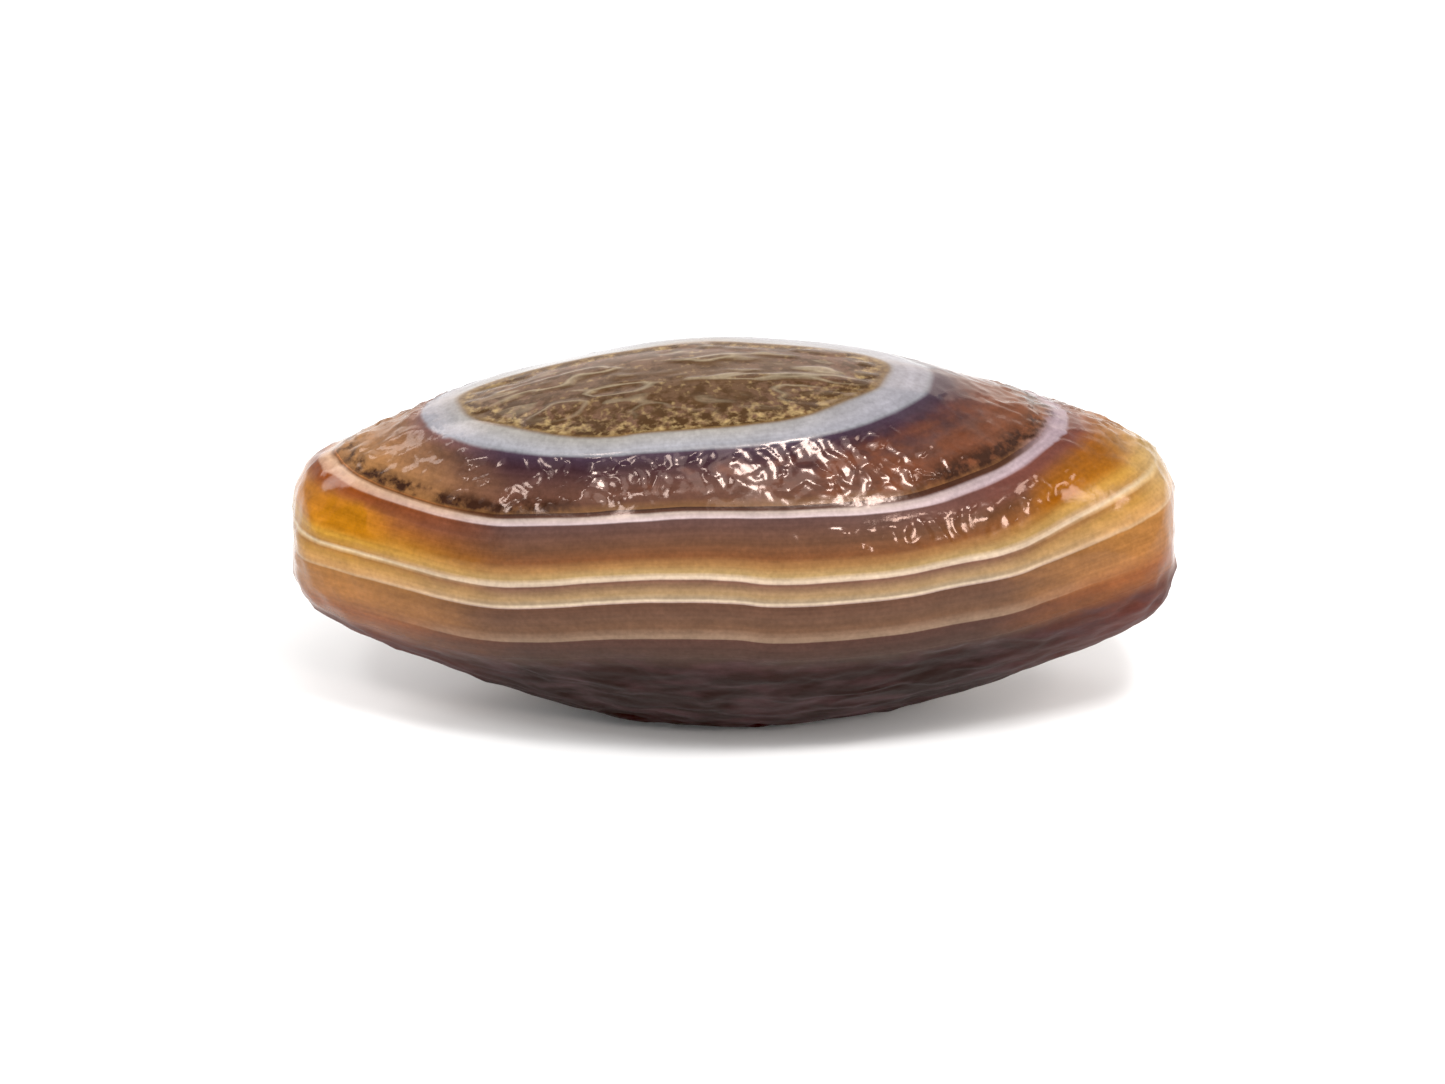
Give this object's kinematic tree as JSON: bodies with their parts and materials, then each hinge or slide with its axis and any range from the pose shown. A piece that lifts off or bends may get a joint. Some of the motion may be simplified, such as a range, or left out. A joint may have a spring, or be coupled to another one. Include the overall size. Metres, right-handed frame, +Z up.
{
  "type": "worn barrel-shaped banded eye agate",
  "caption": "Glossy barrel-shaped agate with squared-off ends, level white and brown layers, and an oval eye on top. It lies on a small worn flat.",
  "frame": {"origin": "centre of the stone's bounding box, on the surface it rests on", "axes": "+X along the stone's length towards its blunter, paler end, -Y towards the side with the clear bands, +Z up through the eye"},
  "size_m": [0.028, 0.0124, 0.0123],
  "materials": {
    "agate": "naturally polished chalcedony, glossy, with a finely pitted skin on its brown layers"
  },
  "bodies": {
    "root": {"agate": "agate"}
  },
  "joints": []
}
